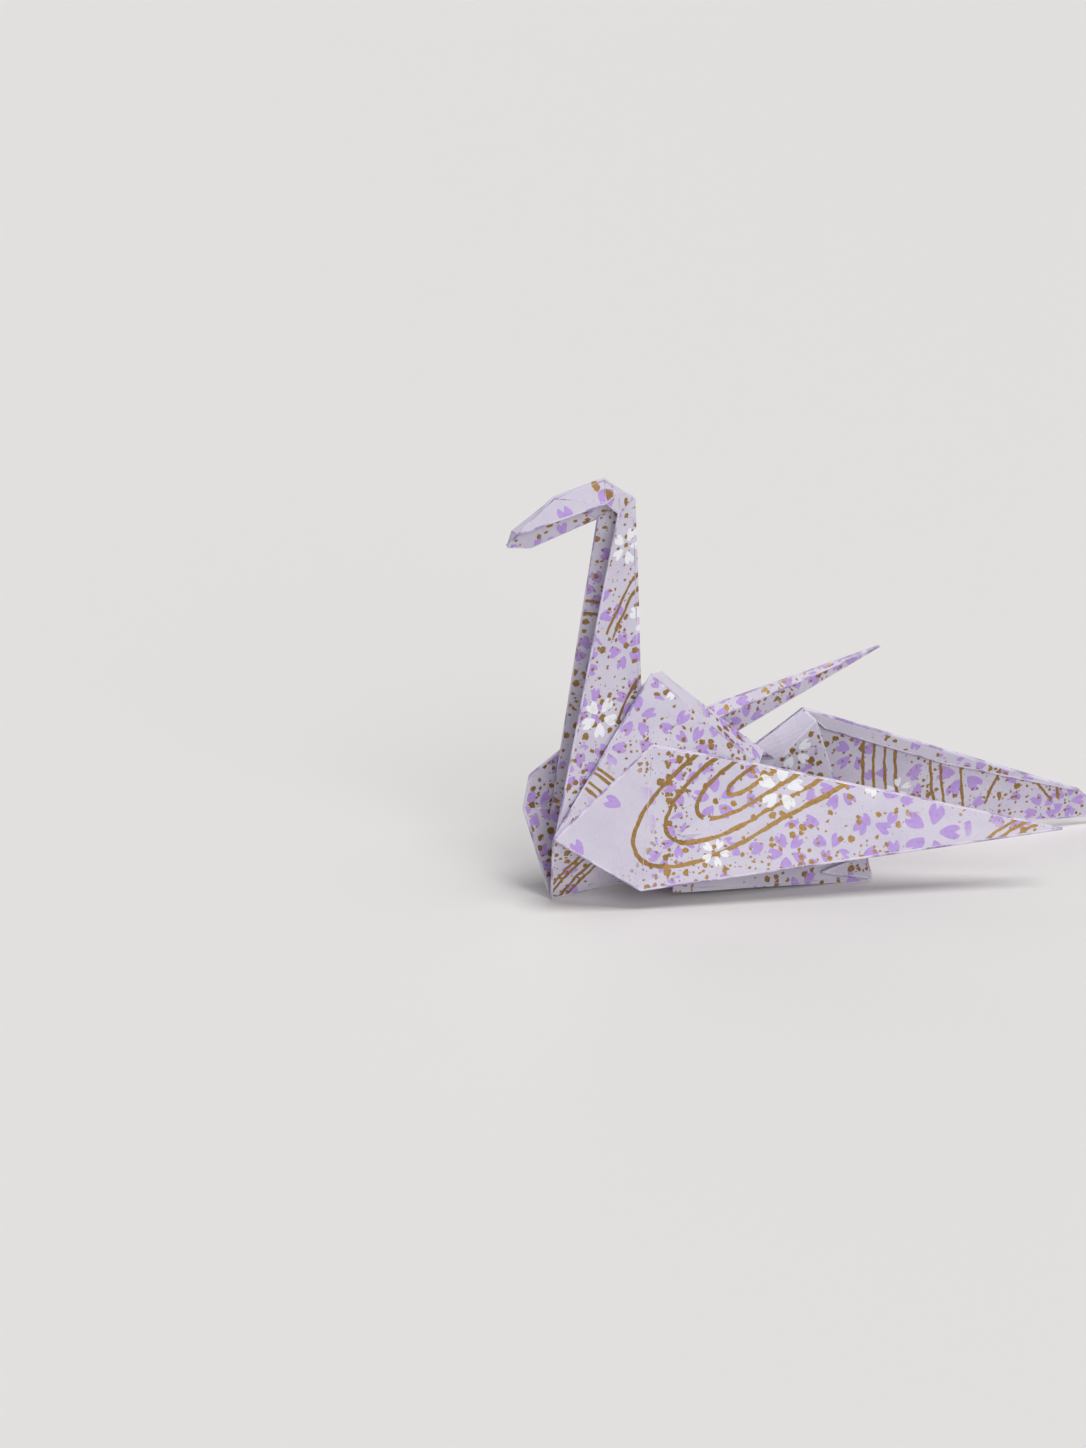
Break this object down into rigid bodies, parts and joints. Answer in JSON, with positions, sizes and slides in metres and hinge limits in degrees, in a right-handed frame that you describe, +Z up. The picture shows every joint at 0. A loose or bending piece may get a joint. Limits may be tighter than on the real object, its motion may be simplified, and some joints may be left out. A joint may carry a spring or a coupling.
{
  "type": "origami crane",
  "caption": "Crane folded from one square sheet of patterned paper, standing on its chest and two pleats, with its wings laid back.",
  "frame": {"origin": "on the ground, under the middle of the bird's bounding box", "axes": "+X towards the head, +Y towards the wing that the picture shows in front, +Z up"},
  "size_m": [0.0928, 0.0216, 0.06],
  "materials": {
    "patterned_paper": "matte"
  },
  "bodies": {
    "root": {"folded_sheet": "patterned_paper"}
  },
  "joints": []
}
